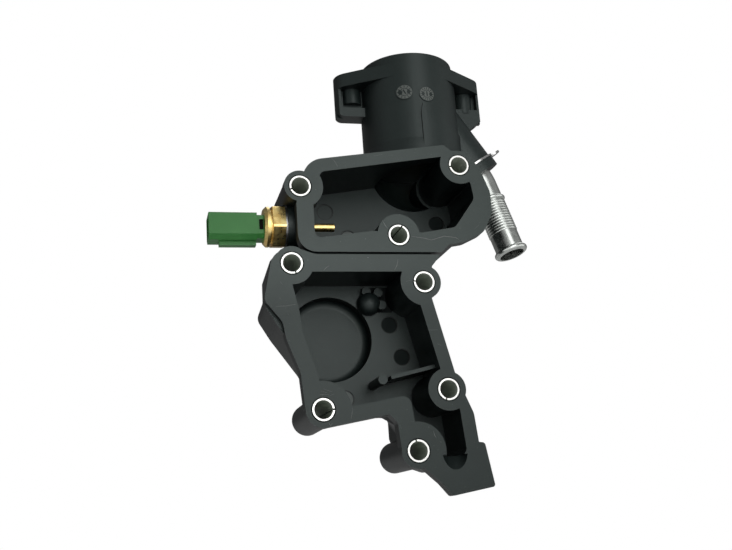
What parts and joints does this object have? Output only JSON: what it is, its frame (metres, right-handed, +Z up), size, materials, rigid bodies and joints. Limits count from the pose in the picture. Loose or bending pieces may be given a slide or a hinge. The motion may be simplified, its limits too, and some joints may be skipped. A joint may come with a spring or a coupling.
{
  "type": "thermostat housing",
  "caption": "Moulded coolant housing with gasket face, thermostat neck with screw ears, temperature sender with plug and ribbed heater pipe.",
  "frame": {"origin": "centre of the middle bolt hole in the plane of the gasket face", "axes": "+Z up along the thermostat neck, +Y from the gasket face into the housing, +X to the right as seen facing the gasket face"},
  "size_m": [0.1616, 0.055, 0.2266],
  "materials": {
    "housing": "satin, lightly scuffed gasket face",
    "collar": "satin",
    "plug": "satin",
    "sender_brass": "turned",
    "insert_brass": "knurled",
    "terminal": "bright",
    "thermostat_brass": "pressed",
    "washer": "satin",
    "thermistor": "gloss",
    "pipe": "bright zinc",
    "clip": "bright",
    "sleeve": "bright",
    "spring_steel": "bright",
    "seal": "matt"
  },
  "bodies": {
    "housing": {"housing": "housing", "sender_body": "sender_brass", "sender_thermistor": "thermistor", "sender_washer": "washer", "sender_plug": "plug", "heater_pipe": "pipe", "pipe_seal": "seal", "pipe_clip": "clip", "pipe_collar": "collar", "thermostat_seal": "seal", "thermostat_plate": "thermostat_brass", "thermostat_frame": "thermostat_brass", "thermostat_spring": "spring_steel", "piston": "spring_steel", "sleeve_top_left": "sleeve", "sleeve_middle_left": "sleeve", "sleeve_lower_left": "sleeve", "sleeve_bottom": "sleeve", "sleeve_lower_right": "sleeve", "sleeve_middle_right": "sleeve", "sleeve_centre": "sleeve", "sleeve_top_right": "sleeve", "ear_insert_left": "insert_brass", "ear_insert_right": "insert_brass", "terminal_lower": "terminal", "terminal_upper": "terminal"},
    "valve": {"wax_capsule": "thermostat_brass", "valve_disc": "thermostat_brass"}
  },
  "joints": [
    {"name": "valve_lift", "type": "slide", "parent": "housing", "child": "valve", "axis": [0, 0, -1], "range_m": [0, 0.008], "stiffness_N_per_m": 3000, "springref_m": -0.012, "deforming": ["thermostat_spring"]}
  ]
}
